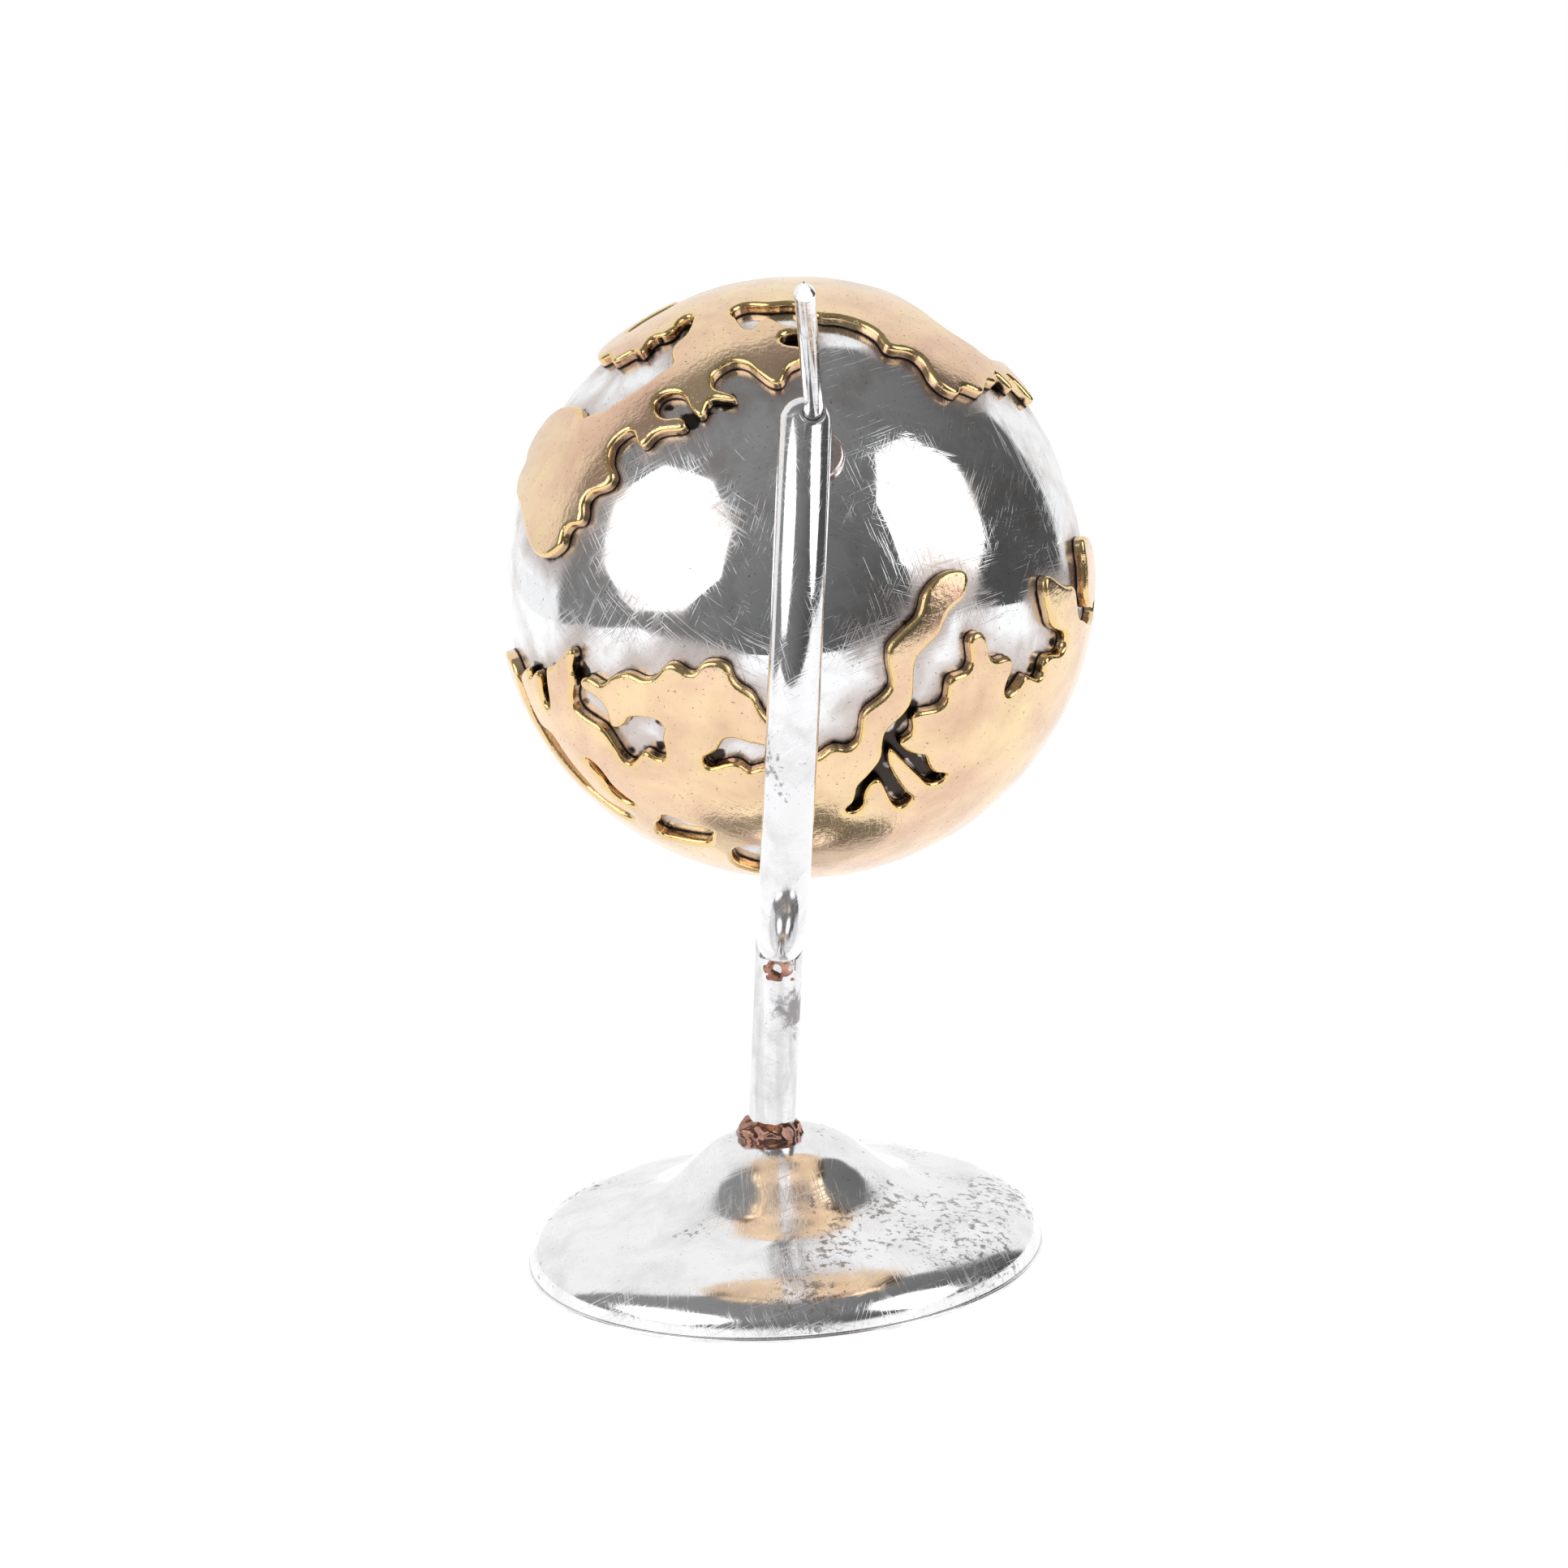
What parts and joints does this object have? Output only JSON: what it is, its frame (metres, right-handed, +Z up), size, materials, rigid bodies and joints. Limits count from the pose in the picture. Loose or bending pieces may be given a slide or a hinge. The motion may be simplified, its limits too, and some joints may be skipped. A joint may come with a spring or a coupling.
{
  "type": "desk globe",
  "caption": "Small metal desk globe: mirror-bright ball with raised brass land, turning on a slanted axle in a C-shaped arm on a bell foot.",
  "frame": {"origin": "centre of the foot's underside, on the surface that the globe stands on", "axes": "+Z up; the arm curves round the ball on the -Y side; the stem leans towards +X"},
  "size_m": [0.0641, 0.0917, 0.1075],
  "materials": {
    "silvered_foot": "polished silver plate with light tarnish",
    "silvered_bar": "polished silver plate",
    "silvered_ball": "mirror-polished silver plate with fine scratches",
    "silvered_trim": "polished silver plate",
    "copper_braze": "rough copper-coloured filler",
    "brass_land": "hand-rubbed brass with rounded edges"
  },
  "bodies": {
    "stand": {"foot_shell": "silvered_foot", "foot_plate": "silvered_foot", "stem_tube": "silvered_bar", "stem_braze_lower": "copper_braze", "stem_braze_upper": "copper_braze", "meridian_arm": "silvered_bar", "arm_bush_upper": "silvered_trim", "arm_bush_lower": "silvered_trim"},
    "globe": {"axle": "silvered_trim", "globe_shell_upper": "silvered_ball", "globe_shell_lower": "silvered_ball", "pole_washer_upper": "silvered_trim", "pole_washer_lower": "silvered_trim", "thrust_sleeve": "silvered_trim", "land_upper": "brass_land", "land_lower": "brass_land", "land_right_isle": "brass_land", "land_far": "brass_land", "land_tail": "brass_land", "land_isle_far_north": "brass_land", "land_isle_far_south": "brass_land", "land_isle_strait": "brass_land", "land_isle_low": "brass_land"}
  },
  "joints": [
    {"name": "globe_spin", "type": "hinge", "parent": "stand", "child": "globe", "pos_m": [0.00502, 0, 0.07322], "axis": [0.0553, -0.8554, 0.515], "continuous": true}
  ]
}
